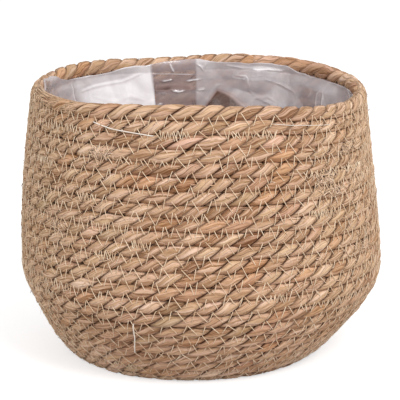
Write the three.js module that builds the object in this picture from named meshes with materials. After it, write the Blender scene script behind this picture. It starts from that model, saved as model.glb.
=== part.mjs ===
// Seagrass plant basket: one long two-ply rope wound in a flat spiral for the base and on up
// the wall as a coil, each turn sewn to the one before, with a clear film liner held under the
// last turn. Millimetres, +Z up, the foot stands on z = 0 and the basket's axis is the Z axis.
// The photographed side faces -Y.

import * as THREE from 'three';

// Rope: its turns lie a rope and a stitch's slack apart
const ropeDiameter = 10.7;
const stitchGap = 0.48;

// Basket, measured outside the rope
const footWidth = 219.7;
const bellyWidth = 318.1;
const mouthWidth = 291.1;
const basketHeight = 242.4;
const bellyHeight = 79;

// How far the profile holds its direction at the foot, on each side of the belly and at the mouth
const footCurve = 8;
const lowerBellyCurve = 22;
const upperBellyCurve = 46;
const mouthCurve = 50;
const mouthLean = THREE.MathUtils.degToRad(7);

// The rope's end: where it lies on the rim, the steps over which it thins, and its tip's share
const tipAzimuth = THREE.MathUtils.degToRad(-176);
const tipTaperSteps = 2;
const tipScale = 0.3;

// A rope is one tube with an end for each section of it, and this slit parts two ends
const endSlit = 0.3;

// Liner: clear film, its seat against the rope and the lip tucked under the rim
const filmThickness = 0.4;
const filmClearance = 0.3;
const lipReach = 3;

// How far the film hangs in from the wall where it is loosest, at each step of a turn from the
// rope's end on round the mouth: close to the wall at the back, and furthest in at the back left
const filmSlack = [
  10, 9, 8, 10, 11, 10,
  9, 11, 12, 11, 9, 8,
  8, 11, 12, 17, 18, 15,
  4, 12, 24, 21, 14, 14,
];

// From crest to hollow of the crushed film's main folds
const foldDepth = 7;

// Facets
const stepsPerTurn = 24;
const ropeSides = 6;
const fineBaseTurns = 3;

const ropeRadius = ropeDiameter / 2;
const flatDistance = ropeRadius * Math.cos(Math.PI / ropeSides);
const pressedDepth = ropeDiameter / 10;
const footHeight = ropeRadius - pressedDepth;
const footRadius = footWidth / 2 - ropeRadius;
const bellyRadius = bellyWidth / 2 - ropeRadius;
const mouthRadius = mouthWidth / 2 - ropeRadius;
const mouthHeight = basketHeight - ropeRadius;

// The wall's profile, along the middle of the rope: out from the foot, up to the belly, and
// leaning in to the mouth
function wallProfile() {
  const foot = new THREE.Vector2(footRadius, footHeight);
  const belly = new THREE.Vector2(bellyRadius, bellyHeight);
  const mouth = new THREE.Vector2(mouthRadius, mouthHeight);
  const lean = new THREE.Vector2(-Math.sin(mouthLean), Math.cos(mouthLean));
  const profile = new THREE.CurvePath();
  profile.add(new THREE.CubicBezierCurve(
    foot,
    new THREE.Vector2(foot.x + footCurve, foot.y),
    new THREE.Vector2(belly.x, belly.y - lowerBellyCurve),
    belly,
  ));
  profile.add(new THREE.CubicBezierCurve(
    belly,
    new THREE.Vector2(belly.x, belly.y + upperBellyCurve),
    mouth.clone().addScaledVector(lean, -mouthCurve),
    mouth,
  ));
  return profile;
}

const profile = wallProfile();
const profileLength = profile.getLength();

// Whole steps only, so that every turn has its corners above those of the turn below
const wallSteps = Math.floor(profileLength / (ropeDiameter + stitchGap) * stepsPerTurn);
const stepRise = profileLength / wallSteps;
const turnRise = stepRise * stepsPerTurn;
const coarseStride = 2;
const centreStride = 4;
const baseTravel = (footRadius - ropeDiameter) / stepRise;
const baseSteps = centreStride * Math.floor(baseTravel / centreStride);
const rimStart = wallSteps - stepsPerTurn - 0.5;

// A point of the profile at a step of the rope: radius, height, and the profile's own direction
// there. Step 0 is the edge of the foot; the flat base has the steps below it.
function profileAt(step) {
  if (step <= 0) {
    return {
      radius: footRadius + step * stepRise,
      height: footHeight,
      along: new THREE.Vector2(1, 0),
    };
  }
  const share = Math.min(step * stepRise / profileLength, 1);
  const point = profile.getPointAt(share);
  return { radius: point.x, height: point.y, along: tangentAt(share) };
}

// The direction at a share of the profile, from two points close beside it
function tangentAt(share) {
  const reach = 0.002;
  const before = profile.getPointAt(Math.max(share - reach, 0));
  const after = profile.getPointAt(Math.min(share + reach, 1));
  return after.sub(before).normalize();
}

// The coil climbs clockwise, seen from above
function azimuthAt(step) {
  return tipAzimuth + (wallSteps - step) * (2 * Math.PI / stepsPerTurn);
}

function turned(radius, height, azimuth) {
  return new THREE.Vector3(radius * Math.cos(azimuth), radius * Math.sin(azimuth), height);
}

// The rope thins to its tip over the last steps
function scaleAt(step) {
  const left = (wallSteps - step) / tipTaperSteps;
  return left >= 1 ? 1 : tipScale + (1 - tipScale) * left;
}

// One ring of the rope: two flats face in and out of the wall, and two corners face the
// neighbouring turns. A thinned ring stays seated on the turn below, and what would lie under
// the floor is pressed flat on it.
function ropeRing(step) {
  const { radius, height, along } = profileAt(step);
  const scale = scaleAt(step);
  const sink = (1 - scale) * ropeRadius;
  const outward = new THREE.Vector2(along.y, -along.x);
  const middle = new THREE.Vector2(radius, height).addScaledVector(along, -sink);
  const ring = [];
  for (let side = 0; side < ropeSides; side += 1) {
    const angle = 2 * Math.PI * side / ropeSides;
    const corner = middle.clone();
    corner.addScaledVector(along, scale * ropeRadius * Math.cos(angle));
    corner.addScaledVector(outward, scale * ropeRadius * Math.sin(angle));
    ring.push(turned(corner.x, Math.max(corner.y, 0), azimuthAt(step)));
  }
  return ring;
}

// The end ring in the middle of a straight stretch, half a slit short of the neighbour's end.
// The stretch runs from one whole step to the next, so it meets the end squarely.
function endRing(lowerStep, side) {
  const before = ropeRing(lowerStep);
  const after = ropeRing(lowerStep + 1);
  const stretch = after[0].distanceTo(before[0]);
  const share = 0.5 + side * endSlit / 2 / stretch;
  return before.map((point, index) => point.clone().lerp(after[index], share));
}

// A closed tube through its rings, as one geometry with shared corners
function tube(rings) {
  const sides = rings[0].length;
  const indices = [];
  for (let ring = 0; ring + 1 < rings.length; ring += 1) {
    for (let side = 0; side < sides; side += 1) {
      const next = (side + 1) % sides;
      const a = ring * sides + side;
      const b = ring * sides + next;
      const c = a + sides;
      const d = b + sides;
      indices.push(a, c, b, b, c, d);
    }
  }
  const last = (rings.length - 1) * sides;
  for (let side = 1; side + 1 < sides; side += 1) {
    indices.push(0, side, side + 1);
    indices.push(last, last + side + 1, last + side);
  }
  return geometryOf(rings.flat(), indices);
}

function geometryOf(points, indices) {
  const geometry = new THREE.BufferGeometry();
  geometry.setFromPoints(points);
  geometry.setIndex(indices);
  geometry.computeVertexNormals();
  return geometry;
}

// Least distance between the points of two turns of a tube, or of two tubes, on points set along
// the ring's sides and halfway between rings. Points less than half a turn apart in one tube are
// skipped.
function leastGap(first, second) {
  const closest = stepsPerTurn / 2;
  const furthest = stepsPerTurn * 1.5;
  let least = Infinity;
  for (const a of first) {
    for (const b of second) {
      const apart = Math.abs(b.step - a.step);
      if (apart < closest || apart > furthest) continue;
      least = Math.min(least, a.point.distanceToSquared(b.point));
    }
  }
  return Math.sqrt(least);
}

function surfacePoints(rings, steps) {
  const perSide = 3;
  const samples = [];
  for (let ring = 0; ring < rings.length; ring += 1) {
    const next = Math.min(ring + 1, rings.length - 1);
    for (const between of [0, 0.5]) {
      const outline = rings[ring].map((point, side) => point.clone().lerp(rings[next][side], between));
      const step = steps[ring] + between * (steps[next] - steps[ring]);
      for (let side = 0; side < outline.length; side += 1) {
        for (let part = 0; part < perSide; part += 1) {
          const point = outline[side].clone();
          point.lerp(outline[(side + 1) % outline.length], part / perSide);
          samples.push({ point, step });
        }
      }
    }
  }
  return samples;
}

// The flat spiral: whole steps near the edge, every second one further in, and every fourth
// round the centre, where a step of that length is straight for a rope's diameter
function baseCoil() {
  const steps = [];
  const fineFrom = -fineBaseTurns * stepsPerTurn;
  const centreTo = -baseSteps + stepsPerTurn;
  let step = -baseSteps;
  while (step < 0) {
    steps.push(step);
    const stride = step < centreTo ? centreStride : coarseStride;
    step += step >= fineFrom ? 1 : stride;
  }
  const rings = steps.map(ropeRing);
  rings.push(endRing(-1, -1));
  steps.push(-0.5);
  return { rings, steps };
}

function wallCoil() {
  const rings = [endRing(-1, 1)];
  const steps = [-0.5];
  for (let step = 0; step < rimStart; step += 1) {
    rings.push(ropeRing(step));
    steps.push(step);
  }
  rings.push(endRing(Math.floor(rimStart), -1));
  steps.push(rimStart);
  return { rings, steps };
}

// The last turn, laid over the film's edge, with the rope's thinned end
function rimCourse() {
  const rings = [endRing(Math.floor(rimStart), 1)];
  const steps = [rimStart];
  for (let step = Math.ceil(rimStart); step <= wallSteps; step += 1) {
    rings.push(ropeRing(step));
    steps.push(step);
  }
  return { rings, steps };
}

// A point of the film at one column: a step of the profile, moved in from the rope's middle
// and along the profile
function filmPoint(column, step, inset, shift) {
  const { radius, height, along } = profileAt(step);
  const point = new THREE.Vector2(radius, height);
  point.addScaledVector(new THREE.Vector2(-along.y, along.x), inset);
  point.addScaledVector(along, shift);
  return turned(point.x, point.y, azimuthAt(wallSteps - column));
}

// How far the film stands in from its seat: its slack there, and a fold's crest or hollow by
// turns along the row and from row to row
function standIn(column, index, row) {
  const crest = (column + index) % 2 === 0 ? -0.5 : 0.5;
  const slack = filmSlack[column] * row.looseness;
  return Math.max(slack + foldDepth * row.folding * crest, 0);
}

// The liner: a cup of film that lies on the base and hangs loosely inside the wall, loosest
// halfway up, with its edge turned out into the groove under the rim. Each row has its share of
// the film's slack and of its folds. Beside the rope's end the edge climbs from one groove to the
// next, and has no lip there.
function linerGeometry() {
  const seat = flatDistance + filmClearance;
  const rows = [
    { height: 0.0, looseness: 0.1, folding: 0.0 },
    { height: 0.17, looseness: 0.3, folding: 0.5 },
    { height: 0.34, looseness: 0.6, folding: 1.0 },
    { height: 0.52, looseness: 1.0, folding: 1.0 },
    { height: 0.7, looseness: 1.0, folding: 1.0 },
    { height: 0.86, looseness: 0.45, folding: 0.2 },
  ];
  const outer = rows.map(() => []);
  const inner = rows.map(() => []);
  const lipRoot = [];
  const lipTipBelow = [];
  const lipTipAbove = [];
  const lipInner = [];
  for (let column = 0; column < stepsPerTurn; column += 1) {
    rows.forEach((row, index) => {
      const step = row.height * wallSteps;
      const inset = seat + standIn(column, index, row);
      outer[index].push(filmPoint(column, step, inset, 0));
      inner[index].push(filmPoint(column, step, inset + filmThickness, 0));
    });
    const groove = wallSteps - column - stepsPerTurn / 2;
    const besideTip = column === 0 || column === stepsPerTurn - 1;
    const reach = besideTip ? 0 : lipReach + filmClearance;
    const half = filmThickness / 2;
    lipRoot.push(filmPoint(column, groove, seat, -half));
    lipTipBelow.push(filmPoint(column, groove, seat - reach, -half));
    lipTipAbove.push(filmPoint(column, groove, seat - reach, half));
    lipInner.push(filmPoint(column, groove, seat + filmThickness, half));
  }
  const floorHeight = footHeight + seat;
  const loops = [...outer, lipRoot, lipTipBelow, lipTipAbove, lipInner, ...inner.reverse()];
  const points = loops.flat();
  const indices = [];
  const count = stepsPerTurn;
  for (let loop = 0; loop + 1 < loops.length; loop += 1) {
    for (let column = 0; column < count; column += 1) {
      const a = loop * count + column;
      const b = loop * count + (column + 1) % count;
      const c = a + count;
      const d = b + count;
      // Both faces of the film are split along the same diagonal, so that they stay parallel
      if (loop < rows.length) indices.push(a, b, c, b, d, c);
      else indices.push(a, b, d, a, d, c);
    }
  }
  const underside = points.length;
  points.push(new THREE.Vector3(0, 0, floorHeight));
  points.push(new THREE.Vector3(0, 0, floorHeight + filmThickness));
  const lastLoop = (loops.length - 1) * count;
  for (let column = 0; column < count; column += 1) {
    const next = (column + 1) % count;
    indices.push(underside, next, column);
    indices.push(underside + 1, lastLoop + column, lastLoop + next);
  }
  return geometryOf(points, indices);
}

// Materials
const seagrass = new THREE.MeshStandardMaterial({ color: 0xb08d62, roughness: 0.85, metalness: 0 });
const seagrassRim = new THREE.MeshStandardMaterial({ color: 0xb8966a, roughness: 0.85, metalness: 0 });
const seagrassBase = new THREE.MeshStandardMaterial({ color: 0xa58258, roughness: 0.88, metalness: 0 });
const clearFilm = new THREE.MeshStandardMaterial({
  color: 0xcfc8ca,
  roughness: 0.15,
  metalness: 0,
  transparent: true,
  opacity: 0.5,
});

function namedMesh(name, geometry, material) {
  const mesh = new THREE.Mesh(geometry, material);
  mesh.name = name;
  return mesh;
}

const base = baseCoil();
const wall = wallCoil();
const rim = rimCourse();

const basePoints = surfacePoints(base.rings, base.steps);
const wallPoints = surfacePoints(wall.rings, wall.steps);
const rimPoints = surfacePoints(rim.rings, rim.steps);
const gaps = {
  'base coil to itself': leastGap(basePoints, basePoints),
  'wall coil to itself': leastGap(wallPoints, wallPoints),
  'base coil to wall coil': leastGap(basePoints, wallPoints),
  'wall coil to rim course': leastGap(wallPoints, rimPoints),
};
for (const [name, gap] of Object.entries(gaps)) {
  console.log(`${name}: least gap ${gap.toFixed(2)} mm`);
}
console.log(`wall and rim: ${(wallSteps / stepsPerTurn).toFixed(2)} turns, ${turnRise.toFixed(2)} mm apart`);

const basket = new THREE.Group();
basket.name = 'seagrass_plant_basket';
basket.add(namedMesh('base_coil', tube(base.rings), seagrassBase));
basket.add(namedMesh('wall_coil', tube(wall.rings), seagrass));
basket.add(namedMesh('rim_course', tube(rim.rings), seagrassRim));
basket.add(namedMesh('liner', linerGeometry(), clearFilm));

export default basket;
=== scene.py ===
"""Seagrass plant basket: a two-ply rope sewn up as a coil, with a clear film liner under its rim."""

import math

import bmesh
import bpy
import numpy as np
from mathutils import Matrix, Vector


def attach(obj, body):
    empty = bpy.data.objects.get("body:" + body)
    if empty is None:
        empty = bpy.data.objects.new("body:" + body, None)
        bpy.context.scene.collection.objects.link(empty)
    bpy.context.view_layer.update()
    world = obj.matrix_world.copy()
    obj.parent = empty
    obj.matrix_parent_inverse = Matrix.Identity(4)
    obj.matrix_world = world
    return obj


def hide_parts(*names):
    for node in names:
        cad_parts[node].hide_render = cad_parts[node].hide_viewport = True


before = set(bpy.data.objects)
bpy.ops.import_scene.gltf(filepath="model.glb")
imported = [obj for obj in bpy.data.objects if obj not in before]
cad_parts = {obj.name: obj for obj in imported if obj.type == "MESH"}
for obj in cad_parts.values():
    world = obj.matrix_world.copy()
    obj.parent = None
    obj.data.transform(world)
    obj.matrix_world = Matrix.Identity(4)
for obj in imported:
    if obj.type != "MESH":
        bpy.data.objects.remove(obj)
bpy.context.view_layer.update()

# Base rope
# The rope is two plies of twisted seagrass, laid left-handed. The base is nearly its first nine
# turns, wound flat from the middle outwards, each sewn to the one before and pressed by the floor.

rope_radius = 0.00535
stitch_slack = 0.00048
steps_a_turn = 24
base_start = -8.8

# The profile through the middle of the rope, and how far it holds its direction at each place
foot_radius, foot_height, foot_curve = 0.1045, 0.00428, 0.008
belly_radius, belly_height, lower_belly_curve, upper_belly_curve = 0.1537, 0.079, 0.022, 0.046
mouth_radius, mouth_height, mouth_curve = 0.1402, 0.23705, 0.05
mouth_lean = math.radians(7)
tip_degrees = -176
tip_azimuth = math.radians(tip_degrees)


def bezier(start, first, second, end):
    """A cubic curve through the profile's plane, as 600 points."""
    share = np.linspace(0, 1, 600)[:, None]
    back = 1 - share
    return (back ** 3 * np.array(start) + 3 * back ** 2 * share * np.array(first)
            + 3 * back * share ** 2 * np.array(second) + share ** 3 * np.array(end))


def distance_along(path):
    """The distance from a path's start to each of its points."""
    return np.concatenate([[0], np.cumsum(np.linalg.norm(np.diff(path, axis=0), axis=1))])


lower_wall = bezier((foot_radius, foot_height), (foot_radius + foot_curve, foot_height),
                    (belly_radius, belly_height - lower_belly_curve), (belly_radius, belly_height))
upper_wall = bezier((belly_radius, belly_height), (belly_radius, belly_height + upper_belly_curve),
                    (mouth_radius + math.sin(mouth_lean) * mouth_curve,
                     mouth_height - math.cos(mouth_lean) * mouth_curve), (mouth_radius, mouth_height))
profile = np.vstack([lower_wall, upper_wall[1:]])
profile_run = distance_along(profile)
wall_turns = math.floor(profile_run[-1] / (2 * rope_radius + stitch_slack) * steps_a_turn) / steps_a_turn
turn_rise = profile_run[-1] / wall_turns


def profile_at(turn):
    """Radius, height and direction of the wall at turns counted from the edge of the foot."""
    run = np.asarray(turn, float) * turn_rise
    radius = np.interp(run, profile_run, profile[:, 0]) + np.minimum(run, 0)
    height = np.interp(run, profile_run, profile[:, 1])
    over = np.maximum(run - profile_run[-1], 0)
    slope = np.gradient(profile, profile_run, axis=0)
    along_r = np.where(run < 0, 1.0, np.interp(run, profile_run, slope[:, 0]))
    along_z = np.where(run < 0, 0.0, np.interp(run, profile_run, slope[:, 1]))
    size = np.hypot(along_r, along_z)
    along_r, along_z = along_r / size, along_z / size
    return radius + over * along_r, height + over * along_z, along_r, along_z


def azimuth_at(turn):
    """The coil climbs clockwise, seen from above, to the rope's end at the left of the rim."""
    return tip_azimuth + (wall_turns - np.asarray(turn, float)) * 2 * math.pi


def wall_frame(turn, azimuth):
    """Middle of the wall there, with the directions out of the wall and up along it."""
    radius, height, along_r, along_z = profile_at(turn)
    radial = np.stack([np.cos(azimuth), np.sin(azimuth), np.zeros_like(azimuth)], axis=-1)
    upright = np.array([0.0, 0.0, 1.0])
    middle = radius[..., None] * radial + height[..., None] * upright
    outward = along_z[..., None] * radial - along_r[..., None] * upright
    along = along_r[..., None] * radial + along_z[..., None] * upright
    return middle, outward, along


def smooth(share):
    """A share between 0 and 1, eased at both ends."""
    return share * share * (3 - 2 * share)


def wander(where, spacing, seed):
    """Smooth random values between -1 and 1, with one knot for each spacing."""
    spot = np.asarray(where, float) / spacing
    knots = np.random.default_rng(seed).uniform(-1, 1, 4096)
    cell = np.floor(spot).astype(int)
    share = smooth(spot - cell)
    return knots[cell % 4096] * (1 - share) + knots[(cell + 1) % 4096] * share


# How far the rim lies above or below its plane, in millimetres, at each bearing
rim_lift_at = np.radians([-180, -171, -163, -156, -149, -141, -128, -108, -90, -68, -60, -51, -42, -29, -15,
                          0, 15, 29, 42, 51, 64, 76, 90, 97, 105, 112, 120, 128, 138, 153, 165, 180])
rim_lift = [7, 4.5, 2, 0, -1.6, -2, -1.2, 0, 0.5, 0.4, -1.6, -2.4, -2.6, -2.6, -1.4,
            0, 1.2, 1.8, 1.9, 1.7, 0.9, 0, -1.1, -1.4, -0.9, 0.4, 1.6, 4, 6.4, 8, 8.4, 7]


def settled(points):
    """A sewn basket isn't true: its foot sits to one side, its rim rolls and its turns waver."""
    x, y, z = points[..., 0], points[..., 1], points[..., 2]
    rim_radius, rim_height = 0.138, 0.235
    azimuth = np.arctan2(y, x)
    height_share = np.clip(z / rim_height, 0, 1.1)
    reach = np.minimum(np.hypot(x, y) / rim_radius, 1.1)
    moved = points.copy()
    moved[..., 0] += 0.139 * np.minimum(z - 0.049, 0)
    saddle = -0.00335 * (x ** 2 - y ** 2) / rim_radius ** 2 * height_share ** 2
    lift = 0.001 * np.interp(azimuth, rim_lift_at, rim_lift) * height_share ** 3 * reach
    wave = 0.0009 * np.sin(2.3 * azimuth + 21 * z + 0.6) * np.sin(31 * z + 1.3 * np.cos(azimuth))
    moved[..., 2] += saddle + lift + wave * np.clip(z / 0.04, 0, 1)
    bulge = 0.0011 * np.sin(3 * azimuth + 26 * z) * np.clip(z / 0.05, 0, 1) * np.clip(reach * 4 - 3, 0, 1)
    moved[..., 0] += bulge * np.cos(azimuth)
    moved[..., 1] += bulge * np.sin(azimuth)

    # The floor presses the rope's underside flat
    low, level = 0.0004, moved[..., 2]
    moved[..., 2] = np.maximum(np.where(level < low, low - (low - level) * 0.12, level), 0.0)
    return moved


# The metres along the rope at each turn, and how far it is twisted by then: its lay is looser in
# some places than in others
travel_turn = np.linspace(base_start, wall_turns, 60000)
travel_radius = profile_at(travel_turn)[0]
travel = np.concatenate([[0], np.cumsum(
    np.hypot(np.diff(travel_turn) * 2 * math.pi * 0.5 * (travel_radius[1:] + travel_radius[:-1]),
             np.diff(travel_turn) * turn_rise))])
lay_length = 0.0335
lay_rate = 1 / (lay_length * (1 + 0.15 * wander(travel, 0.13, 3) + 0.12 * wander(travel, 0.036, 4)))
lay_turns = -np.concatenate([[0], np.cumsum(np.diff(travel) * 0.5 * (lay_rate[1:] + lay_rate[:-1]))])

# Each turn of a ply shows as one lozenge, and this is how far it goes on each side of its middle
lozenge_reach = 0.46


def lozenges(lay, reach):
    """The numbers of the lozenges along a ply, and the places where each one starts and ends."""
    number = np.arange(math.floor(lay.min()) - 1, math.ceil(lay.max()) + 2)
    return number, np.stack([number - reach, number + reach], axis=1).ravel()


def per_lozenge(lay, seed, reach=lozenge_reach):
    """A random value for each lozenge, changed where the ply faces the other way."""
    number, knots = lozenges(lay, reach)
    values = np.random.default_rng(seed).uniform(0, 1, len(number))
    return np.interp(lay, knots, np.repeat(values, 2))


def slant_of(lay, seed):
    """How far the grass has swung round the ply, in metres: each lozenge has its own slant."""
    number, knots = lozenges(lay, lozenge_reach)
    slopes = np.random.default_rng(seed).normal(0, 0.15, len(number))
    swings = np.stack([slopes, -slopes], axis=1).ravel() * lozenge_reach * lay_length
    return np.interp(lay, knots, swings)


# The plies are fuller than the rope's mean radius, and the thinned end lies low against its turn
ply_swell = 1.055
tip_drop, tip_sink = 1.25 * rope_radius, 0.15 * rope_radius


def thinned(turn):
    """How thick the rope is, as a share: it thins towards its end."""
    return 0.24 + 0.76 * np.clip((wall_turns - turn) / 0.075, 0, 1) ** 0.8


def ply_tube(turn_from, turn_to, ply, ring_step=0.0024, sides=24):
    """One ply between two turns of the coil: rings of points, with its tone and its creases."""
    run_from, run_to = np.interp([turn_from, turn_to], travel_turn, travel)
    rings = max(int(round((run_to - run_from) / ring_step)), 8)
    run = np.linspace(run_from, run_to, rings + 1)
    turn = np.interp(run, travel, travel_turn)
    lay = np.interp(run, travel, lay_turns) + 0.5 * ply
    middle, outward, along = wall_frame(turn, azimuth_at(turn))
    thin = thinned(turn)
    middle = middle - along * ((1 - thin) * tip_drop)[:, None] - outward * ((1 - thin) * tip_sink)[:, None]
    middle = middle + outward * (0.00035 * wander(run, 0.05, 11))[:, None]
    middle = middle + along * (0.0004 * wander(run, 0.043, 12) + 0.0003 * wander(run, 0.017, 13))[:, None]
    turned = 2 * math.pi * lay + 0.13 * np.sin(4 * math.pi * lay)
    towards = np.cos(turned)[:, None] * outward + np.sin(turned)[:, None] * along
    across = -np.sin(turned)[:, None] * outward + np.cos(turned)[:, None] * along

    # A ply's section is half a disc, flat where it meets the other ply and rounded at its edges
    seed = 100 + 10 * ply
    arc = 0.5 * math.pi * np.sin(np.linspace(-0.5 * math.pi, 0.5 * math.pi, sides - 4))
    arc_radius = 1 - 0.20 * np.abs(np.sin(arc)) ** 12
    seat = np.linspace(0.66, -0.66, 4)
    away = np.concatenate([arc_radius * np.cos(arc) + 0.03, np.full(4, -0.03)])
    aside = np.concatenate([arc_radius * np.sin(arc), seat])
    shown = np.concatenate([np.cos(arc) ** 0.5, np.zeros(4)])
    plump = 0.95 + 0.15 * per_lozenge(lay, seed, 0.37) + 0.02 * wander(run, 0.02, seed + 1)
    blades = np.stack([wander(run, 0.012, seed + 20 + side) for side in range(sides)], axis=1)
    size = rope_radius * ply_swell * (plump[:, None] + 0.035 * blades * shown) * thin[:, None]
    round_middle = (away * size)[..., None] * towards[:, None] + (aside * size)[..., None] * across[:, None]
    above = np.einsum("rsk,rk->rs", round_middle, along)
    depth = np.einsum("rsk,rk->rs", round_middle, outward)
    level = above / (rope_radius * thin[:, None])
    points = middle[:, None] + round_middle
    points = points + (0.04 * np.maximum(depth, 0))[..., None] * outward[:, None]
    points = points + (0.09 * above)[..., None] * along[:, None]

    # Each ply shows one row of lozenges outside and another inside the basket. The right back of
    # the rim is a redder brown. Light is painted into the tone too: the rim is lighter at the back, where
    # less light reaches it, and the wall's first turns are paler, against the floor's shade on them
    outer = depth > 0
    tone, hue, slant = [
        np.where(outer, series(lay, seed + more)[:, None], series(lay - 0.5, seed + more + 4)[:, None])
        for series, more in ((per_lozenge, 2), (per_lozenge, 3), (slant_of, 4))]
    bearing = (wall_turns - turn) * 360 + tip_degrees
    on_rim = turn > wall_turns - 1.04
    hue = np.where((on_rim & (bearing > 22) & (bearing < 68))[:, None], 0.92 + 0.08 * hue, hue)
    rim_tone_and_light = np.interp(bearing, [-150, -30, 0, 15, 43, 62, 80, 109, 131, 150, 165, 184],
                         [-0.1, -0.1, -0.05, 0, -0.1, -0.05, 0.1, 0.25, 0.3, 0.1, 0, 0])
    foot_painted_light = np.interp(turn, [-0.3, 0.3, 1.8, 4], [0, 1.0, 0.5, 0])
    drift = 0.15 + 0.15 * wander(run, 0.2, seed + 1) + rim_tone_and_light * on_rim + foot_painted_light
    # How deep in the crease between the two plies each point lies, for the shade painted there
    sunk = np.abs(np.sin(arc))
    crease = np.concatenate([0.75 * sunk ** 80 + 0.25 * sunk ** 16, np.ones(4)]) * np.ones((len(run), 1))
    return {
        "points": settled(points),
        "along": run + 50 * ply,
        "around": np.linspace(0, 0.0275, sides + 1),
        "values": {
            "tone": tone * 0.7 + drift[:, None],
            "hue": hue,
            "slant": slant,
            "crease": crease,
            # Height across the turn, for the shade painted on each turn's lower side and in the grooves
            "level": np.clip(level, -1.2, np.where(turn > wall_turns - 1, 0.8, 1.2)[:, None]),
            "inner": np.clip(-depth / rope_radius, 0, 1),
            "tail": (1 - thin)[:, None] * np.ones((1, sides)),
        },
    }


def rolled(name, tubes):
    """One mesh of tubes, each a grid that is rolled up, welded along its seam and closed.

    A tube with "each" is a row of short ones, cut apart after that number of rings. One with
    "open" is a cup: it is closed in its middle alone.
    """
    whole = bmesh.new()
    for tube in tubes:
        rings, sides = tube["points"].shape[:2]
        each = tube.get("each", rings)
        flat = bmesh.new()
        if "along" in tube:
            flat.loops.layers.uv.new("lengths")
        bmesh.ops.create_grid(flat, x_segments=rings - 1, y_segments=sides, size=1)
        sheet = bpy.data.meshes.new("flat")
        flat.to_mesh(sheet)
        flat.free()
        spots = np.empty(len(sheet.vertices) * 3, np.float32)
        sheet.vertices.foreach_get("co", spots)
        spots = spots.reshape(-1, 3)
        ring = np.rint((spots[:, 0] + 1) / 2 * (rings - 1)).astype(int)
        side = np.rint((spots[:, 1] + 1) / 2 * sides).astype(int)
        sheet.vertices.foreach_set("co", tube["points"][ring, side % sides].astype(np.float32).ravel())
        if "along" in tube:
            corner = np.empty(len(sheet.loops), np.int32)
            sheet.loops.foreach_get("vertex_index", corner)
            lengths = np.stack([tube["along"][ring[corner]], tube["around"][side[corner]]], axis=1)
            sheet.uv_layers["lengths"].data.foreach_set("uv", lengths.astype(np.float32).ravel())
        for label, value in tube.get("values", {}).items():
            layer = sheet.attributes.new(label, "FLOAT", "POINT")
            layer.data.foreach_set("value", value[ring, side % sides].astype(np.float32))
        part = bmesh.new()
        part.from_mesh(sheet)
        part.verts.ensure_lookup_table()
        first = {ring[index]: index for index in np.flatnonzero(side == 0)}
        seam = {part.verts[index]: part.verts[first[ring[index]]] for index in np.flatnonzero(side == sides)}
        links = [face for face in part.faces if len({ring[vert.index] // each for vert in face.verts}) > 1]
        bmesh.ops.weld_verts(part, targetmap=seam)
        bmesh.ops.delete(part, geom=[face for face in links if face.is_valid], context="FACES")
        ends = [edge for edge in part.edges if edge.is_boundary
                and not (tube.get("open") and edge.verts[0].co.xy.length > 0.02)]
        bmesh.ops.holes_fill(part, edges=ends, sides=0)
        for face in part.faces:
            face.smooth = True
        part.to_mesh(sheet)
        part.free()
        whole.from_mesh(sheet)
        bpy.data.meshes.remove(sheet)
    bmesh.ops.recalc_face_normals(whole, faces=whole.faces)
    mesh = bpy.data.meshes.new(name)
    whole.to_mesh(mesh)
    whole.free()
    return mesh


class Wire:
    """A socket of the shader, so that its maths reads as plain arithmetic."""

    def __init__(self, shop, socket):
        self.shop, self.socket = shop, socket

    def maths(self, operation, *values):
        return self.shop.node("ShaderNodeMath", {"operation": operation}, dict(enumerate(values)))

    def __add__(self, other): return self.maths("ADD", self, other)
    def __radd__(self, other): return self.maths("ADD", other, self)
    def __sub__(self, other): return self.maths("SUBTRACT", self, other)
    def __rsub__(self, other): return self.maths("SUBTRACT", other, self)
    def __mul__(self, other): return self.maths("MULTIPLY", self, other)
    def __rmul__(self, other): return self.maths("MULTIPLY", other, self)
    def __abs__(self): return self.maths("ABSOLUTE", self)

    def floored(self):
        return self.maths("FLOOR", self)

    def larger(self, other):
        return self.maths("MAXIMUM", self, other)

    def clamped(self):
        return self.maths("MINIMUM", self.larger(0.0), 1.0)

    def between(self, low, high):
        """0 below low, 1 above high and straight between them."""
        return self.maths("DIVIDE", self - low, high - low).clamped()


class Finish:
    """A material, or the studio's world, as it is made."""

    def __init__(self, made):
        made.use_nodes = True
        made.node_tree.nodes.clear()
        self.made, self.tree = made, made.node_tree

    def node(self, kind, settings={}, inputs={}, out=0):
        """Adds one node and hands back its socket."""
        made = self.tree.nodes.new(kind)
        for name, value in settings.items():
            if name == "stops":
                ramp = made.color_ramp
                while len(ramp.elements) < len(value):
                    ramp.elements.new(0.5)
                for element, (at, shade) in zip(ramp.elements, value):
                    element.position, element.color = at, shade
            else:
                setattr(made, name, value)
        for name, value in inputs.items():
            if isinstance(value, Wire):
                self.tree.links.new(value.socket, made.inputs[name])
            else:
                made.inputs[name].default_value = value
        return Wire(self, made.outputs[out])

    def mixed(self, factor, first, second, blend="MIX"):
        """Two colours mixed by a factor."""
        return self.node("ShaderNodeMix", {"data_type": "RGBA", "blend_type": blend},
                         {0: factor, 6: first, 7: second}, out=2)

    def noise(self, vector, scale, detail, dimensions="3D", **more):
        return self.node("ShaderNodeTexNoise", {"noise_dimensions": dimensions},
                         {"Vector": vector, "Scale": scale, "Detail": detail, **more})

    def attribute(self, name):
        return self.node("ShaderNodeAttribute", {"attribute_name": name}, out="Fac")

    def parts(self, vector):
        """The three numbers of a vector."""
        apart = self.node("ShaderNodeSeparateXYZ", {}, {"Vector": vector}).socket.node
        return [Wire(self, socket) for socket in apart.outputs]

    def done(self, surface, output="ShaderNodeOutputMaterial"):
        end = self.tree.nodes.new(output)
        self.tree.links.new(surface.socket, end.inputs["Surface"])
        return self.made


def colour(red, green, blue):
    """A colour from its 0 to 255 screen values."""
    linear = [((v / 255 + 0.055) / 1.055) ** 2.4 if v > 10 else v / 3294 for v in (red, green, blue)]
    return (*linear, 1.0)


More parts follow.
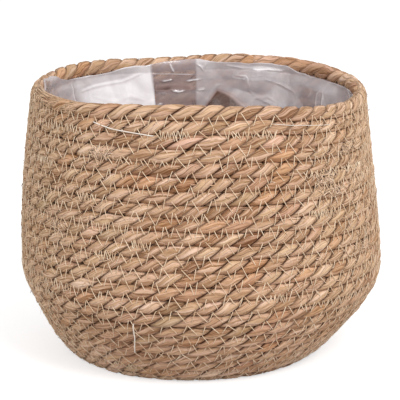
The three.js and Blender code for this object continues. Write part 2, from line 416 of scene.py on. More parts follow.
def seagrass(name, shade, red_foot):
    """Dry twisted grass blades: a tone for each stretch of ply, fine fibres, and shade painted dark in its
    creases and grooves.
    """
    finish = Finish(bpy.data.materials.new(name))
    tone, hue, slant, crease, level, inner, tail = [
        finish.attribute(label) for label in ("tone", "hue", "slant", "crease", "level", "inner", "tail")]
    along, around, _ = finish.parts(finish.node("ShaderNodeUVMap", {"uv_map": "lengths"}))
    place = finish.node("ShaderNodeTexCoord", out="Object")
    side, ahead, low = finish.parts(place)

    # Blades of grass about 3 mm wide, laid a little flatter than the ply, each with its own tone
    across = around - along * 0.70 + slant
    slow = finish.node("ShaderNodeCombineXYZ", {}, {0: along * 28, 1: around * 50, 2: 0.0})
    sway = finish.noise(slow, 1.0, 1.0, "2D")
    lane = across * 300 + sway * 1.4 + hue * 17
    blade = lane.floored()
    strip = (across * 840 + sway * 5.0 + hue * 43).floored()
    blade_tone, strip_tone = [finish.node("ShaderNodeTexWhiteNoise", {"noise_dimensions": "1D"}, {"W": cell})
                              for cell in (blade + hue * 31, strip)]
    fine = finish.node("ShaderNodeCombineXYZ", {}, {0: along * 45, 1: across * 1300, 2: 0.0})
    fibres = finish.noise(fine, 1.0, 3.0, "2D", Roughness=0.6)
    broken = finish.noise(place, 160.0, 1.0)
    split = abs(lane - blade - 0.5).between(0.36, 0.47) * broken.between(0.40, 0.52)
    patches = finish.noise(place, 16.0, 2.0)

    light = tone * 0.42 + fibres * 0.92 + blade_tone * 0.28 + strip_tone * 0.38 + patches * 0.36 - 0.73
    straw = finish.node("ShaderNodeValToRGB", {"stops": [
        (0.0, colour(122, 84, 60)), (0.22, colour(172, 138, 112)), (0.45, colour(203, 172, 146)),
        (0.68, colour(222, 194, 168)), (1.0, colour(248, 228, 208))]}, {"Fac": light.clamped()})
    kind = finish.node("ShaderNodeValToRGB", {"stops": [
        (0.0, colour(230, 231, 221)), (0.03, colour(242, 239, 230)), (0.06, colour(255, 253, 250)),
        (0.74, colour(255, 251, 248)), (0.84, colour(252, 240, 226)), (0.91, colour(250, 231, 213)),
        (0.95, colour(255, 248, 246)), (1.0, colour(255, 244, 242))]}, {"Fac": hue})
    body = finish.mixed(1.0, straw, kind, "MULTIPLY")
    tinge = finish.mixed(strip_tone, colour(255, 249, 232), colour(255, 246, 248))
    body = finish.mixed(1.0, body, tinge, "MULTIPLY")

    # Painted shade on the lower side of each turn; darker in its splits and at its end; paler and darker
    # fibres at the left and right of the front, where the painted crease shade is weaker as light falls
    # there from the side; redder towards the foot; and shade painted dark in the creases between plies
    # and in the grooves between turns
    # At the left and right of the front: paler and darker fibres, and less painted crease shade, as light
    # falls there from the side
    frizz_and_side_light = abs(side).between(0.06, 0.13) * (0 - ahead).between(-0.01, 0.03)
    # How strong the painted crease shade is: in patches, weaker on the inside and at the sides of the front
    crease_shade_strength = (0.55 + patches.between(0.42, 0.58) * 0.45) * (1 - inner * 0.8) * (1 - frizz_and_side_light * 0.2)
    # Painted shade: dark in the creases between plies and along the grooves between turns, where less light
    # reaches
    painted_shade = (crease * crease_shade_strength + abs(level).between(0.88, 1.02) * 0.75).clamped()
    # The first mix is shade painted on the lower side of each turn, the last the painted shade in creases
    # and grooves
    for share, stain in (((0 - level).between(0.1, 0.9) * 0.32, colour(140, 92, 66)),
                         (split * 0.42, colour(110, 68, 42)),
                         (tail * 0.6, colour(186, 134, 88)),
                         (frizz_and_side_light * fibres.between(0.4, 0.6) * 0.4, colour(236, 206, 168)),
                         (frizz_and_side_light * (1 - fibres.between(0.34, 0.5)) * 0.45, colour(128, 92, 62)),
                         ((1 - low.between(0.005, 0.12)) * red_foot, colour(186, 138, 110)),
                         (painted_shade * 0.95, colour(60, 25, 8))):
        body = finish.mixed(share, body, stain)
    body = finish.mixed(1.0, body, shade, "MULTIPLY")

    raised = fibres * 0.45 + blade_tone * 0.3 + strip_tone * 0.25 - split * 0.6
    bump = finish.node("ShaderNodeBump", {}, {"Strength": 0.9, "Distance": 0.0005, "Height": raised})
    return finish.done(finish.node("ShaderNodeBsdfPrincipled", {}, {
        "Base Color": body, "Roughness": (0.6 + fibres * 0.3).clamped(), "Normal": bump,
        "Specular IOR Level": 0.08, "Coat Weight": (1 - painted_shade) * fibres.between(0.45, 0.7) * 0.3,
        "Coat Roughness": 0.35}))


def placed(name, data):
    """A new object in the scene, at the origin."""
    made = bpy.data.objects.new(name, data)
    bpy.context.scene.collection.objects.link(made)
    return made


def kept(name, tubes, finish, replaces=()):
    """The finished piece: its tubes as one mesh, riding on the basket's one body."""
    mesh = rolled(name, tubes)
    mesh.materials.append(finish)
    made = placed(name, mesh)
    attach(made, "root")
    if replaces:
        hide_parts(*replaces)
    return made


base_finish = seagrass("seagrass_base", colour(246, 240, 236), 0.4)
kept("base_rope", [ply_tube(base_start, 0, ply) for ply in (0, 1)],
     base_finish, ["base_coil"])

# Wall rope
# The same rope goes on up the wall for 22 turns, out to the belly and in to the mouth. It is drawn
# in lengths of about four metres that run on into each other.

wall_finish = seagrass("seagrass_wall", colour(255, 255, 255), 0.28)
rim_turn = wall_turns - 1 - 0.5 / steps_a_turn
wall_lengths = 6
for length in range(wall_lengths):
    turn_from = rim_turn * length / wall_lengths
    turn_to = rim_turn * (length + 1) / wall_lengths
    kept(f"wall_rope_{length + 1}", [ply_tube(turn_from, turn_to, ply) for ply in (0, 1)],
         wall_finish, ["wall_coil"])

# Rim rope
# The last turn of the same rope lies over the liner's edge and is sewn through it. Its end is
# thinned and sewn down on the turn below.

rim_finish = seagrass("seagrass_rim", colour(255, 255, 255), 0.0)
kept("rim_rope", [ply_tube(rim_turn, wall_turns, ply, ring_step=0.002) for ply in (0, 1)],
     rim_finish, ["rim_course"])

# Needle thread
# Cream thread runs in a zigzag over every groove on the outside, from a hole in one turn to a hole
# in the next. The machine crowds its stitches in places, and here and there it sews twice.

thread_radius = 0.00034
# How far the thread lies from the middle of the rope that it is drawn tight on
thread_seat = 0.00556
last_groove = wall_turns - 1.02


def unit(vectors):
    """The vectors, each at length 1."""
    return vectors / np.maximum(np.linalg.norm(vectors, axis=-1, keepdims=True), 1e-9)


def thread_tube(path, outward, radius, sides=5):
    """A thread along a path, as rings of points."""
    ahead = unit(np.gradient(path, axis=0))
    aside = unit(np.cross(ahead, outward))
    above = np.cross(aside, ahead)
    angle = np.linspace(0, 2 * math.pi, sides, endpoint=False)
    ring = np.cos(angle)[:, None] * aside[:, None] + np.sin(angle)[:, None] * above[:, None]
    return {
        "points": settled(path[:, None] + radius * ring),
        "along": distance_along(path),
        "around": np.linspace(0, 2 * math.pi * radius, sides + 1),
    }


def turn_below(degrees, courses):
    """The turn that lies so many courses below the rim at that bearing."""
    return wall_turns - (degrees - tip_degrees) / 360 - courses


def zigzag(turn_from, turn_to, down, up, hidden, height, seed, side=1, sides=5):
    """Stitches along the groove above the given turns, on the outside or, with side -1, inside.

    down and up are how far the two strokes go along the rope, hidden how far the thread then runs
    on within it, and height how far the holes lie from the groove.
    """
    random = np.random.default_rng(seed)
    stitches = []
    turn, upper = turn_from, True
    while turn < turn_to:
        girth = 2 * math.pi * max(float(profile_at(turn + 0.5)[0]), 0.012)
        crowd = 0.5 + 0.5 * math.sin(turn * 9.1 + 2.2 * math.sin(turn * 3.7)) * math.sin(turn * 1.3)
        pace = 1.1 - 0.45 * max(crowd - 0.62, 0) / 0.38
        reach = (down if upper else up) * pace * (1 + random.normal(0, 0.27))
        offset = height * (1 if upper else -1)
        end = turn + max(reach, 0.0003) / girth
        stitches.append((turn, end, offset * (1 + random.normal(0, 0.18)),
                         -offset * (1 + random.normal(0, 0.18))))
        turn = end + max(hidden * pace * (1 + random.normal(0, 0.7)), 0.0003) / girth
        upper = not upper
    starts, ends, start_offsets, end_offsets = np.array(stitches).T
    path, out = [], []
    for share, rise in ((0.0, -0.0017), (0.06, 0.00010), (0.5, 0.00030), (0.94, 0.00010), (1.0, -0.0017)):
        spot = starts + (ends - starts) * share
        offset = start_offsets + (end_offsets - start_offsets) * share
        middle, outward, along = wall_frame(spot + 0.5, azimuth_at(spot))
        hole = 0.5 * turn_rise - np.minimum(np.abs(offset), height)
        flank = np.sqrt(np.maximum(thread_seat ** 2 - hole ** 2, 1e-8))
        hole_end = 0.5 * turn_rise - height * 0.95
        level = np.maximum(flank, math.sqrt(thread_seat ** 2 - hole_end ** 2))
        path.append(middle + along * offset[:, None] + outward * (side * (level + rise))[:, None])
        out.append(outward * side)
    path = np.stack(path, axis=1).reshape(-1, 3)
    out = np.stack(out, axis=1).reshape(-1, 3)
    return thread_tube(path, out, thread_radius, sides)


def laid_over(places, radius, lift):
    """A loose thread over the wall's outside, through places given as degrees round and turns up."""
    share = np.linspace(0, len(places) - 1, 8 * (len(places) - 1) + 1)
    degrees, turns = [np.interp(share, np.arange(len(places)), values) for values in np.array(places).T]
    middle, outward, along = wall_frame(turns, np.radians(degrees))
    clear = np.full(len(share), 0.0058 + lift)
    clear[[0, -1]] = 0.0040
    return thread_tube(middle + outward * clear[:, None], outward, radius)


def thread_finish(name, body, soiled):
    """Waxed thread with a faint twist, soiled in places."""
    finish = Finish(bpy.data.materials.new(name))
    lengths = finish.node("ShaderNodeUVMap", {"uv_map": "lengths"})
    place = finish.node("ShaderNodeTexCoord", out="Object")
    slanted = finish.node("ShaderNodeMapping", {}, {"Vector": lengths, "Rotation": (0, 0, 0.6)})
    twist = finish.node("ShaderNodeTexWave", {"wave_type": "BANDS", "bands_direction": "X"},
                        {"Vector": slanted, "Scale": 420.0, "Distortion": 0.6})
    grime = finish.noise(place, 90.0, 2.0)
    shade = finish.mixed(grime.between(0.35, 0.75) * soiled, body, colour(216, 180, 142))
    shade = finish.mixed((1 - twist) * 0.18, shade, colour(170, 130, 92))
    bump = finish.node("ShaderNodeBump", {}, {"Strength": 0.5, "Distance": 0.0001, "Height": twist})
    return finish.done(finish.node("ShaderNodeBsdfPrincipled", {}, {
        "Base Color": shade, "Roughness": 0.5 + grime * 0.2, "Normal": bump, "Sheen Weight": 0.2}))


cream = thread_finish("cream_thread", colour(251, 229, 200), 1.0)
needle_stitch = (0.0028, 0.0056, 0.0018, 0.0050)
outside_rows = [zigzag(first, min(first + 4.4, last_groove), *needle_stitch, 500 + int(first * 10))
                for first in np.arange(0, wall_turns - 1.1, 4.4)]
kept("needle_thread", outside_rows, cream)

random_rows = np.random.default_rng(77)
second_rows = []
for start in np.sort(random_rows.uniform(0.5, wall_turns - 1.6, 40)):
    end = start + random_rows.uniform(0.03, 0.09)
    second_rows.append(zigzag(start, end, 0.0030, 0.0042, 0.0010, 0.0033, int(start * 1000)))

# Where the machine stood nearly still: degrees round, grooves down from the rim, stitch along
for degrees, grooves, half_width, pace in (
        (-98, 1, 4.5, 0.0018), (-73.5, 1, 8.0, 0.0024), (-65.5, 13, 2.5, 0.0014), (-127, 6, 3.0, 0.0016),
        (-119.8, 10, 3.5, 0.0016), (-150, 4, 5, 0.0016), (-108, 9, 3, 0.0016), (-48, 7, 6, 0.0018),
        (-30, 4, 6, 0.0018)):
    standing = turn_below(degrees, 1 + grooves)
    second_rows.append(zigzag(standing - half_width / 360, standing + half_width / 360,
                              pace * 0.6, pace, 0.0005, 0.0036, 4000 + int(degrees)))
kept("crowded_stitches", second_rows, cream)

# Ends and floats that were left lying over the turns
floats = [laid_over([(-127, 21.49), (-119, 21.02), (-111.8, 20.80), (-104.5, 20.58)], 0.00048, 0.0006),
          laid_over([(-66.5, 21.33), (-54, 21.24), (-41.8, 21.10)], 0.00026, 0.0004),
          laid_over([(-110.8, 6.88), (-111.2, 5.6), (-112.2, 3.72)], 0.00050, 0.0008)]
kept("thread_floats", floats, thread_finish("clean_thread", colour(255, 248, 238), 0.3))

# Bobbin thread
# The same machine's lower thread makes a zigzag on the inside of the wall. The base is sewn in the
# same way, and shows a zigzag under it and another on top.

bobbin_stitch = (0.0058, 0.0040, 0.0020, 0.0036)
inside_rows = [zigzag(first, min(first + 5.5, last_groove), *bobbin_stitch, 800 + int(first * 10), -1, 4)
               for first in np.arange(0, wall_turns - 1.1, 5.5)]
kept("bobbin_thread", inside_rows, thread_finish("tan_thread", colour(196, 160, 128), 1.0))
base_rows = [zigzag(-8.1, -0.02, *bobbin_stitch, 900 + side, side, 4) for side in (1, -1)]
kept("base_thread", base_rows, cream)

# Loose grass
# Ends of the grass blades that have sprung out of the rope as it was twisted and sewn, and the
# fine hairs that fray from them.


def bladed(path, radial, width, thickness, random, tones):
    """Flat blades along paths, one path a row, as one row of tubes with three sides."""
    count, rings = path.shape[:2]
    ahead = unit(np.gradient(path, axis=1))
    aside = unit(np.cross(ahead, radial))
    above = np.cross(aside, ahead)
    share = np.linspace(0, 1, rings)
    taper = np.sin(np.pi * (0.12 + 0.80 * share)) * random.uniform(0.6, 1.25, (count, 1))
    half_width, ridge = aside * (width * taper)[..., None], above * (thickness * taper)[..., None]
    points = np.stack([path + half_width, path + ridge, path - half_width], axis=2)
    ones = np.ones((1, rings, 3))
    return {
        "points": settled(points).reshape(count * rings, 3, 3),
        "each": rings,
        "along": (0.01 * share + random.uniform(0, 9, (count, 1))).ravel(),
        "around": np.linspace(0, 2.2 * width, 4),
        "values": {
            "tone": (tones[:, None, None] * ones).reshape(-1, 3),
            "hue": (random.uniform(0.1, 0.74, (count, 1, 1)) * ones).reshape(-1, 3),
        },
    }


def sprung(count, rings, seed, lengths, width, thickness, lift, stray):
    """Short loose blades on the outside of the wall, most of them at its left and right."""
    random = np.random.default_rng(seed)
    travelled = random.uniform(np.interp(0.2, travel_turn, travel), travel[-1] * 0.999, count * 3)
    bearing = np.degrees(azimuth_at(np.interp(travelled, travel, travel_turn))) % 360
    frayed = np.interp(bearing, [0, 40, 140, 180, 232, 245, 295, 315, 360],
                       [1, 0.5, 0.5, 1, 1, 0.25, 0.25, 0.8, 1])
    travelled = travelled[random.uniform(0, 1, count * 3) < frayed][:count]

    # Worn spots, where it stands out pale: degrees round, courses down from the rim and how many
    usual = len(travelled)
    for degrees, courses, crease_shade_strength in ((-123.5, 3, 60), (-48, 5, 40), (-46, 6, 40),
                                   (-140, 9, 20), (-33, 11, 20), (-36, 3, 20)):
        turn = turn_below(degrees, courses) + random.normal(0, 0.007, crease_shade_strength)
        travelled = np.append(travelled, np.interp(turn, travel_turn, travel))
    count = len(travelled)
    turn = np.interp(travelled, travel, travel_turn)
    tones = random.uniform(0.15, 1.0, count)
    tones[usual:] = random.uniform(1.2, 2.0, count - usual)
    stray, lift, clear_of = [np.where(np.arange(count) < usual, most, few)
                             for most, few in ((stray, 60), (lift, 0.0014), (0.0002, 0.0009))]
    round_rope = np.radians(random.normal(0, 34, count))
    heading = np.radians(random.normal(14, stray))
    length = random.uniform(*lengths, count)
    bend = random.normal(0, 0.35, count) * stray / 30
    tall = np.abs(random.normal(0, 1, count)) * lift
    share = np.linspace(0, 1, rings)
    way = share * length[:, None]
    swing = heading[:, None] + bend[:, None] * share
    girth = 2 * math.pi * profile_at(turn)[0]
    spot = turn[:, None] - way * np.cos(swing) / girth[:, None]
    climb = round_rope[:, None] + way * np.sin(swing) / (rope_radius + 0.00015)
    middle, outward, along = wall_frame(spot, azimuth_at(spot))
    radial = np.cos(climb)[..., None] * outward + np.sin(climb)[..., None] * along
    height = rope_radius + clear_of[:, None] + tall[:, None] * share ** 1.6
    return bladed(middle + radial * height[..., None], radial, width, thickness, random, tones)


def tail_blades(count, rings, seed):
    """The rope's end, untwisted into flat blades that lie side by side over the rim."""
    random = np.random.default_rng(seed)
    spot = wall_turns - 0.108 + 0.1 * np.linspace(0, 1, rings) + random.uniform(-0.012, 0.012, (count, 1))
    thin = thinned(spot)
    middle, outward, along = wall_frame(spot, azimuth_at(spot))
    middle = middle - along * ((1 - thin) * tip_drop)[..., None]
    climb = np.radians(np.linspace(-35, 150, count)[:, None] + random.normal(0, 5, (count, rings)))
    radial = np.cos(climb)[..., None] * outward + np.sin(climb)[..., None] * along
    height = rope_radius * (0.25 + 0.8 * thin) + random.uniform(0.0002, 0.0007, (count, 1))
    tones = random.uniform(0.15, 1.0, count)
    return bladed(middle + radial * height[..., None], radial, 0.0014, 0.0004, random, tones)


kept("loose_blades", [sprung(2600, 6, 21, (0.005, 0.014), 0.00055, 0.00028, 0.0008, 20)],
     wall_finish)
kept("frayed_hairs", [sprung(4200, 6, 22, (0.003, 0.011), 0.00020, 0.00020, 0.0014, 45)],
     wall_finish)
kept("rope_end", [tail_blades(22, 9, 23)], rim_finish)

# Liner
# A bag of clear film lies in the basket, folded and crumpled, and keeps pot and soil off the
# grass. Its edge is sewn in under the last turn.

columns = 740
film_radius = 0.137


def crease_line(sweep, drop, places, width):
    """How strongly a crease shows, along places in degrees round and millimetres below the seam.

    It thins out towards its ends.
    """
    spots = np.array([((math.radians(degrees) - tip_azimuth) % (2 * math.pi) * film_radius, down * 0.001)
                      for degrees, down in places])
    reached = distance_along(spots)
    reached /= reached[-1]
    strongest = np.zeros(drop.shape)
    for start, end, reached_start, reached_end in zip(spots[:-1], spots[1:], reached[:-1], reached[1:]):
        line = end - start
        apart_x, apart_y = sweep - start[0], drop - start[1]
        share = np.clip((apart_x * line[0] + apart_y * line[1]) / (line @ line), 0, 1)
        distance = np.hypot(apart_x - share * line[0], apart_y - share * line[1])
        way = reached_start + (reached_end - reached_start) * share
        fading = np.minimum(1, 0.25 + 3 * np.minimum(way, 1 - way))
        strongest = np.maximum(strongest, fading * np.clip(1 - distance / (width * fading), 0, 1) ** 1.3)
    return strongest


def eased(spot, knots, values):
    """A value between knots, level at each of them."""
    knots, values = np.array(knots, float), np.array(values, float)
    cell = np.clip(np.searchsorted(knots, spot, side="right") - 1, 0, len(knots) - 2)
    share = smooth(np.clip((spot - knots[cell]) / (knots[cell + 1] - knots[cell]), 0, 1))
    return values[cell] * (1 - share) + values[cell + 1] * share


# The columns lie closer together on the far side, which shows in the mouth
sweep_turn = np.interp(np.arange(columns), [0, 200, columns], [0, 0.46, 1])
azimuth = tip_azimuth + sweep_turn * 2 * math.pi
sweep = sweep_turn * 2 * math.pi * film_radius
compass = np.degrees((azimuth + math.pi) % (2 * math.pi) - math.pi)
groove = wall_turns - sweep_turn - 0.5
near_tip = np.minimum(sweep_turn, 1 - sweep_turn)
groove += np.where(sweep_turn < 0.5, -0.5, 0.5) * (1 - np.clip(near_tip / 0.045, 0, 1))

# How far the film is drawn up over the rim rope's inner side before it turns in under it, in
# turns: past 0.5 it goes on over the top of the rope
top_at = [-180, -176, -172, -163, -150, -90, -30, 0, 10, 20, 30, 42, 48, 53, 60, 70, 79, 86, 90, 101, 106,
          112, 117, 121, 128, 135, 143, 150, 157, 161, 165, 173, 177, 180]
top_rise = [0.7, 0.35, 0.2, 0.1, 0.1, 0.1, 0.1, 0.4, 0.35, 0.15, 0.05, 0.05, 0.2, 0.55, 0.6, 0.5, 0.55, 0.75,
            0.95, 0.95, 0.8, 0.6, 0.7, 0.6, 0.25, 0.1, 0.1, 0.2, 0.5, 0.9, 1.15, 1.25, 1.0, 0.7]
top_turn = groove + np.interp(compass, top_at, top_rise) + 0.05 * wander(sweep_turn, 0.012, 61)

# How far it hangs in from the wall where it is loosest, in millimetres at each 15 degrees from the
# rope's end. At the back one sharp fold steps in from 2.5 to 17.
slack_at = [*range(0, 271, 15), 283.6, 285.2, *range(300, 361, 15)]
film_slack = [10, 9, 8, 10, 11, 10, 9, 11, 12, 11, 9, 8, 8, 11, 12, 17, 18, 15, 4,
              2.5, 17, 24, 21, 14, 14, 10]
hang = eased(sweep_turn * 360, slack_at, film_slack) * 0.001

# Its rows, from the floor to the top, as turns of the wall: they lie closest where they show
share_up = np.concatenate([np.linspace(0.0, 0.34, 10, endpoint=False),
                           np.linspace(0.34, 0.80, 20, endpoint=False), np.linspace(0.80, 1.0, 76)])[:, None]
rows = share_up * top_turn
drop = (groove - rows) * turn_rise
rise = hang * np.interp(drop, [-0.02, 0.0, 0.045, 0.09, 0.16, 0.22], [0, 0, 1, 1.15, 0.5, 0])

# Its main folds, a crest or a hollow by turns along each row and from row to row
fold_depth = 0.007
pleat = -0.5 * np.cos(math.pi * steps_a_turn * sweep_turn)
folding = eased(rows / wall_turns, [0, 0.17, 0.34, 0.52, 0.7, 0.86, 1], [0, -0.5, 1, -1, 1, -0.2, 0])
rise = rise + fold_depth * folding * pleat

# Flat facets with sharp edges between them, as film has that was crushed: the highest of many
# tilted planes
random_planes = np.random.default_rng(8)
facets = 220
across_at, down_at = random_planes.uniform(-0.03, 0.89, facets), random_planes.uniform(-0.02, 0.22, facets)
tilt_across, tilt_down = random_planes.normal(0, 1, (facets, 2)).T * [[0.15], [0.10]]
raised = random_planes.uniform(0, 0.0012, facets)
crumple = np.full(rows.shape, -1.0)
for facet in range(facets):
    apart_x, apart_y = sweep - across_at[facet], drop - down_at[facet]
    plane = raised[facet] + tilt_across[facet] * apart_x + tilt_down[facet] * apart_y
    crumple = np.maximum(crumple, plane - (apart_x ** 2 + apart_y ** 2) / 0.2)
calm = np.interp(compass, [-180, 84, 88, 107, 109.5, 180], [1, 1, 0.35, 0.35, 0.9, 1])
crumple = 0.5 * (crumple + np.hypot(crumple, 0.0016))
rise = rise + crumple * calm * np.interp(drop, [-0.004, 0.008, 0.045, 0.07], [0, 1.15, 1.15, 0.5])

# The creases that show on the far side, each from place to place in degrees round and millimetres
# below the seam, with its half width and height in millimetres and the strength of the highlight
# painted white along it. The wide, low ones are painted glows round the brightest highlights
painted_highlight = np.zeros(rows.shape)
far_creases = [
    (3, 1.4, 0.9, (147.8, -1), (150, 2.5), (150.7, 12.5), (150, 24)),
    (2.6, 1.4, 0.9, (146, 10), (136.8, 7.7), (123.3, 5.5), (117, 2.4), (112.5, -0.5)),
    (2.2, 1, 0.6, (144, 0), (130.2, -3.1), (119.9, -6.4), (113, -8)),
    (3, 0.8, 0.4, (139, 16), (129, 22), (121, 18), (113, 24)),
    (2, 0.8, 0.8, (109.5, 8), (109.4, 33)),
    (1.5, 1.6, 1.3, (106, 8.9), (103.5, 8.6), (100.6, 7.8)),
    (1.5, 1.6, 1.4, (96.2, 9.9), (92.8, 8.9), (89, 8.4)),
    (1.8, 1.8, 1.5, (101.8, 17.9), (98.6, 19.4), (95.6, 18.4)),
    (2, 1.4, 1.1, (91.2, 18.4), (87.6, 17.6)),
    (4.5, 0.2, 0.35, (107, 8.9), (100, 7.8)),
    (4.5, 0.2, 0.35, (96.6, 10), (88, 8.4)),
    (5, 0.2, 0.4, (103, 18), (95, 18.6)),
    (1.8, 0.9, 0.6, (105.6, 21), (103.6, 20.4)),
    (2, 1.2, 0.9, (108.2, 31.8), (104.4, 29.8)),
    (1.4, 0.3, 0.9, (115, -0.8), (108.9, 1.3), (98.3, 2.9), (87, 4.7)),
    (2.2, 1.4, 1.2, (102.2, -9), (101.4, -3.8), (100, 1.8)),
    (1.8, 1.8, 1.2, (91.2, -6), (89.3, -3), (88.2, 1.6)),
    (1.4, 1.6, 0.9, (87, -6.6), (88.6, -1.2)),
    (2.4, 1, 0.7, (88.4, 32), (85.6, 22.5), (82.9, 14.4), (80.5, 13.4)),
    (2.4, 1.2, 1, (81.6, -5.9), (77.6, -3.4), (69.8, -0.6)),
    (2.4, 1.2, 1.2, (71, -1.4), (66, -0.8), (61.2, -1.4), (55.2, -1), (53.6, -2.6), (52.6, -5)),
    (2.4, 1, 0.8, (75.6, 5.2), (70.5, 4.6), (69.4, 7), (69.2, 17)),
    (2, 0.8, 0.7, (69.6, 4.8), (62.4, 3.6)),
    (2.6, 0.9, 0.6, (69.2, 17), (66, 21.4), (58, 28), (52.7, 33)),
    (2.2, 0.8, 0.7, (66.9, 2.6), (61.4, 6.5), (55.4, 10.2), (48.5, 15.2), (46.5, 21)),
    (2.2, 0.5, 0.4, (68, 24), (60, 22), (52, 30)),
    (2, 0.7, 0.6, (37.2, 8.1), (39.8, 18.5)),
    (2.6, 2, 0.8, (31.6, 4), (33.2, 11), (33, 34)),
    (2.2, 1.6, 0.9, (30.4, 6), (29.6, 14), (29.4, 34)),
    (2, 0.8, 0.5, (31.7, -3.6), (24, -6), (16, -7)),
    (2, 1.2, 1.4, (16.6, -7.6), (11, -3.6), (3, 3)),
    (3, 1.6, 0.6, (160, 2), (157, 26)),
    (3, 1.6, 0.5, (168, -4), (165, 18)),
]
for width, height, highlight_strength, *places in far_creases:
    crease = crease_line(sweep, drop, places, width * 0.001)
    rise = rise + height * 0.0006 * crease
    painted_highlight = np.maximum(painted_highlight, highlight_strength * crease)

film_clear = 0.0070


def draped(turns, inset):
    """The film at turns of the wall, so far in from the rope's middle and on over the rope's top."""
    over = np.maximum(turns - groove - 0.5, 0) * turn_rise / film_clear
    middle, outward, along = wall_frame(np.minimum(turns, groove + 0.5), azimuth)
    return middle - outward * (inset * np.cos(over))[..., None] + along * (inset * np.sin(over))[..., None]


held = np.clip((1 - share_up) / 0.03, 0, 1) ** 0.6 * np.clip(share_up / 0.12, 0, 1)
wall_film = draped(rows, film_clear + np.maximum(rise, 0) * held)
lip_rows = [draped(groove + (top_turn - groove) * up_share, tuck)
            for up_share, tuck in ((0.98, 0.0056), (0.6, 0.0049), (0.0, 0.0036), (0.0, 0.0008))]
floor_rows = []
for share in np.linspace(0.04, 0.97, 14):
    ripple = 1 + np.sin(7 * azimuth + 9 * share) * np.sin(3 * azimuth + 14 * share)
    height = foot_height + 0.0062 + 0.0012 * ripple * min(share * 3, 1) ** 2
    floor_rows.append(np.stack([share * foot_radius * np.cos(azimuth), share * foot_radius * np.sin(azimuth),
                                height], axis=1))
film_points = np.concatenate([floor_rows, wall_film, lip_rows])
floor_and_lip = ((len(floor_rows), len(lip_rows)), (0, 0))

# Where the film is clouded and where it is clear enough to show the rope
haze_at = [-180, -150, -90, -30, 0, 20, 30, 36, 42, 47, 60, 76, 84, 87.3, 88, 91, 91.8, 104, 107.9, 109.2,
           120, 140, 146, 150, 160, 180]
haze_value = [0.42, 0.5, 0.5, 0.5, 0.5, 0.62, 0.53, 0.42, 0.44, 0.53, 0.52, 0.51, 0.59, 0.66, 0.66, 0.63,
              0.30, 0.28, 0.34, 0.96, 0.96, 0.94, 0.7, 0.54, 0.54, 0.42]
lean = np.interp(drop, [0.002, 0.020], [1.3, 0.5]) * np.interp(compass, [100, 105, 112, 116], [0, 1, 1, 0])
leaning = compass - lean
haze = np.interp(leaning, haze_at, haze_value)
band_top = np.interp(compass, [119.9, 130.2, 142.3], [-0.0064, -0.0031, -0.0006])
band_foot = np.interp(compass, [117, 123.3, 136.8, 146], [0.0014, 0.0045, 0.0067, 0.0086])
band = np.clip(np.minimum(drop - band_top, band_foot - drop) / 0.0012, 0, 1)
band = band * np.interp(compass, [114, 121, 141, 146], [0, 1, 1, 0])
above_seam = np.interp(compass, [45, 52, 88, 92, 106, 110], [0, 1, 1, 1.4, 1.4, 0])
above_seam = above_seam * np.clip((0.002 - drop) / 0.004, 0, 1)
low_strip = np.interp(drop, [0.0175, 0.0195, 0.0255, 0.029], [0, 1, 1, 0])
low_strip = low_strip * np.interp(compass, [88, 92, 106, 108], [0, 1, 1, 0])
haze = haze - 0.26 * band + 0.16 * above_seam + 0.16 * low_strip
deep = np.clip((drop - 0.034) / 0.03, 0, 1)
# Painted highlights along the creases make the film whiter and more opaque there
haze = np.clip(np.maximum(haze, painted_highlight), 0, 1) * (1 - deep) + 0.45 * deep
haze = np.pad(haze, floor_and_lip, constant_values=((0.45, 0.6), (0, 0)))

# Where it lies close on the rope it takes the rope's brown, with shade painted in: in a strip at the
# back with painted shade in darker bands along the grooves, and a painted shadow below a fold next
# to it
strip = np.clip((108.4 - leaning) / 0.9, 0, 1) * np.clip((drop - 0.0015) / 0.0025, 0.8, 1)
strip = strip * np.interp(drop, [0.003, 0.006, 0.009, 0.011, 0.0144, 0.0168, 0.0197, 0.0246, 0.033],
                          [0.4, 0.43, 0.62, 0.48, 0.82, 0.95, 0.26, 0.34, 0.75])
strip = strip * np.interp(compass, [84, 88, 91, 94, 103, 108], [0, 0.05, 0.15, 0.8, 1, 0.8])
fold_top = 0.0145 + np.where(compass > 82.8, 0.0030, -0.0006) * (compass - 82.8)
fold_edge = np.interp(compass, [66, 80], [0.015, 0.006])
# A painted shadow below the fold, where it overhangs the film
fold_shadow = np.clip((drop - fold_top) / fold_edge, 0, 1)
fold_shadow = smooth(fold_shadow * np.interp(compass, [56, 66, 76], [0, 0.7, 1]))
brown = np.clip(np.maximum(strip, fold_shadow) * (1 - np.clip(painted_highlight, 0, 1)), 0, 1) * (1 - deep) + 0.25 * deep
brown = np.pad(brown, floor_and_lip, constant_values=((0.25, 0.0), (0, 0)))

film = Finish(bpy.data.materials.new("clear_film"))
clouded_and_highlit, browned_and_shaded = film.attribute("haze"), film.attribute("brown")
film_place = film.node("ShaderNodeTexCoord", out="Object")
cloud = film.noise(film_place, 38.0, 3.0, Distortion=0.8)
cells = film.node("ShaderNodeTexVoronoi", {"feature": "DISTANCE_TO_EDGE"},
                  {"Vector": film_place, "Scale": 30.0})
fold_line = 1 - cells.between(0.0, 0.10)
# How white and opaque the film is, from its cloudiness and the painted highlights
cover = (clouded_and_highlit * 0.97 + (cloud - 0.5) * 0.6 * (clouded_and_highlit + 0.1) + fold_line * 0.03).clamped()
film_colour = film.mixed(cover, colour(176, 164, 176), colour(255, 249, 250))
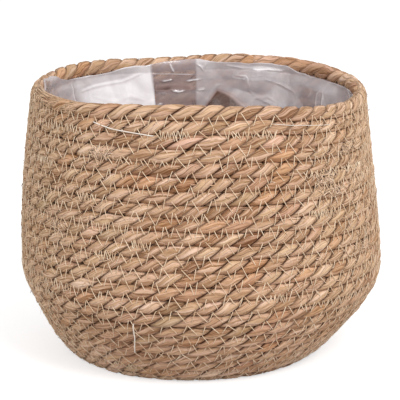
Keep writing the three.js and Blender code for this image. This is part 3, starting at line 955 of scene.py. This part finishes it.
# The rope's brown under the film, painted darker for the shade in the grooves and under the fold
rope_brown_and_shade = film.mixed(browned_and_shaded.between(0.6, 1.0), colour(198, 172, 168), colour(96, 70, 62))
film_colour = film.mixed((browned_and_shaded * (1.1 + cloud * 0.5)).clamped(), film_colour, rope_brown_and_shade)
veil = cover.larger(browned_and_shaded.between(0.0, 0.8) * 0.85)
film_bump = film.node("ShaderNodeBump", {}, {
    "Strength": 0.5, "Distance": 0.0010, "Height": fold_line * 0.35 + cloud * 0.8})
film_surface = film.node("ShaderNodeBsdfPrincipled", {}, {
    "Base Color": film_colour, "Roughness": 0.14 + cloud * 0.2, "Alpha": (0.12 + veil * 0.84).clamped(),
    "Normal": film_bump, "IOR": 1.5, "Specular IOR Level": 0.5, "Coat Roughness": 0.08, "Coat IOR": 1.7,
    "Coat Weight": (0.4 + cover * 0.6) * (1 - browned_and_shaded * 0.85)})

film_tube = {"points": settled(film_points), "values": {"haze": haze, "brown": brown}, "open": True}
liner_film = kept("liner_film", [film_tube], film.done(film_surface), ["liner"])

# Studio
# A pale floor that runs on as a white background, soft light from above and in front, and the
# camera at the photograph's height and distance.

floor_mesh = bpy.data.meshes.new("floor")
floor_shape = bmesh.new()
bmesh.ops.create_grid(floor_shape, x_segments=1, y_segments=1, size=6)
floor_shape.to_mesh(floor_mesh)
floor_shape.free()
placed("floor", floor_mesh)
pale = Finish(bpy.data.materials.new("pale_floor"))
seen = pale.node("ShaderNodeLightPath", out="Is Camera Ray")
matt = pale.node("ShaderNodeBsdfDiffuse", {}, {"Color": (0.66, 0.66, 0.66, 1)})
glow = pale.node("ShaderNodeEmission", {}, {"Color": (1, 1, 1, 1), "Strength": 0.6})
dark = pale.node("ShaderNodeEmission", {}, {"Color": (0, 0, 0, 1), "Strength": 0.0})
backdrop = pale.node("ShaderNodeMixShader", {}, {0: seen, 1: dark, 2: glow})
floor_mesh.materials.append(pale.done(pale.node("ShaderNodeAddShader", {}, {0: matt, 1: backdrop})))

# White where it is seen, itself or in a gloss, and dimmer as light on the basket
world = bpy.data.worlds.new("studio")
bpy.context.scene.world = world
sky = Finish(world)
seen, mirrored = [sky.node("ShaderNodeLightPath", out=ray) for ray in ("Is Camera Ray", "Is Glossy Ray")]
sky.done(sky.node("ShaderNodeBackground", {}, {
    "Color": (1, 1, 1, 1), "Strength": seen.larger(mirrored).larger(0.68)}), "ShaderNodeOutputWorld")


def soft_light(name, place, aim, width, power):
    """A square softbox that faces a point."""
    lamp = bpy.data.lights.new(name, "AREA")
    lamp.shape = "SQUARE"
    lamp.size = width
    lamp.energy = power
    made = placed(name, lamp)
    made.location = place
    made.rotation_euler = (Vector(aim) - Vector(place)).to_track_quat("-Z", "Y").to_euler()


soft_light("key_light", (0.95, -1.5, 1.65), (0, 0, 0.12), 0.9, 29)
soft_light("side_light", (-1.6, -1.0, 0.9), (0, 0, 0.12), 1.0, 5.5)

camera_data = bpy.data.cameras.new("camera")
camera_data.sensor_width = 36
camera_data.lens = 177.2
camera_data.clip_end = 20
camera = placed("camera", camera_data)
camera.location = (0.0018, -1.7, 0.557)
camera.rotation_euler = (math.radians(90 - 14.05), math.radians(0.24), 0)
bpy.context.scene.camera = camera
bpy.context.scene.view_settings.view_transform = "Standard"
